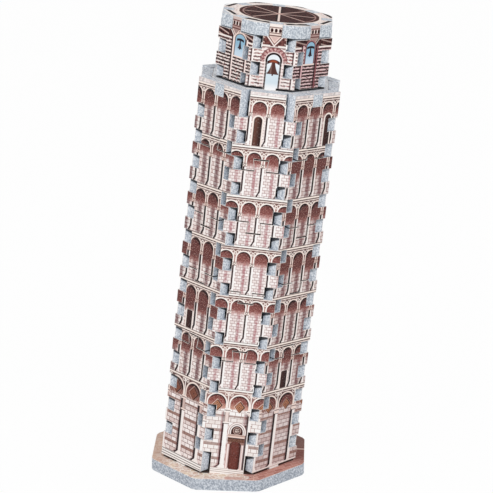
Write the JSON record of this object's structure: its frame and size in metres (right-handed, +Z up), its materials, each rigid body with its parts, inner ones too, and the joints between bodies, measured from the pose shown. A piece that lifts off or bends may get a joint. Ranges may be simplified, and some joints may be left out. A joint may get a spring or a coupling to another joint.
{
  "type": "foam puzzle bell tower",
  "caption": "Leaning eight-sided bell tower model of interlocking printed foam-board puzzle pieces on an octagonal base, with a lift-off belfry and roof plate.",
  "frame": {"origin": "middle of the base plate's underside, where the model rests on a table", "axes": "+Z up, the face with the door toward -Y, the tower leans toward +X"},
  "size_m": [0.0877, 0.076, 0.2301],
  "materials": {
    "printed_wall": "printed card face on grey foam",
    "printed_belfry": "printed card face on grey foam",
    "bare_foam": "bare speckled foam",
    "printed_roof": "printed card face on grey foam",
    "printed_paving": "printed card face on grey foam"
  },
  "bodies": {
    "base": {"base_left": "printed_paving", "base_right": "printed_paving"},
    "tower": {"front_wall_1": "printed_wall", "front_wall_2": "printed_wall", "front_wall_3": "printed_wall", "front_wall_4": "printed_wall", "front_wall_5": "printed_wall", "front_right_wall_1": "printed_wall", "front_right_wall_2": "printed_wall", "front_right_wall_3": "printed_wall", "front_right_wall_4": "printed_wall", "front_right_wall_5": "printed_wall", "right_wall_1": "printed_wall", "right_wall_2": "printed_wall", "right_wall_3": "printed_wall", "right_wall_4": "printed_wall", "right_wall_5": "printed_wall", "back_right_wall_1": "printed_wall", "back_right_wall_2": "printed_wall", "back_right_wall_3": "printed_wall", "back_right_wall_4": "printed_wall", "back_right_wall_5": "printed_wall", "back_wall_1": "printed_wall", "back_wall_2": "printed_wall", "back_wall_3": "printed_wall", "back_wall_4": "printed_wall", "back_wall_5": "printed_wall", "back_left_wall_1": "printed_wall", "back_left_wall_2": "printed_wall", "back_left_wall_3": "printed_wall", "back_left_wall_4": "printed_wall", "back_left_wall_5": "printed_wall", "left_wall_1": "printed_wall", "left_wall_2": "printed_wall", "left_wall_3": "printed_wall", "left_wall_4": "printed_wall", "left_wall_5": "printed_wall", "front_left_wall_1": "printed_wall", "front_left_wall_2": "printed_wall", "front_left_wall_3": "printed_wall", "front_left_wall_4": "printed_wall", "front_left_wall_5": "printed_wall", "gallery_plate": "bare_foam"},
    "belfry": {"front_belfry_panel": "printed_belfry", "front_right_belfry_panel": "printed_belfry", "right_belfry_panel": "printed_belfry", "back_right_belfry_panel": "printed_belfry", "back_belfry_panel": "printed_belfry", "back_left_belfry_panel": "printed_belfry", "left_belfry_panel": "printed_belfry", "front_left_belfry_panel": "printed_belfry"},
    "roof": {"roof_plate": "printed_roof"}
  },
  "joints": [
    {"name": "tower_lift", "type": "slide", "parent": "base", "child": "tower", "axis": [0.0854, 0, 0.9963], "range_m": [0, 0.015]},
    {"name": "belfry_lift", "type": "slide", "parent": "tower", "child": "belfry", "axis": [0.0854, 0, 0.9963], "range_m": [0, 0.015]},
    {"name": "roof_lift", "type": "slide", "parent": "belfry", "child": "roof", "axis": [0.0854, 0, 0.9963], "range_m": [0, 0.015]}
  ]
}
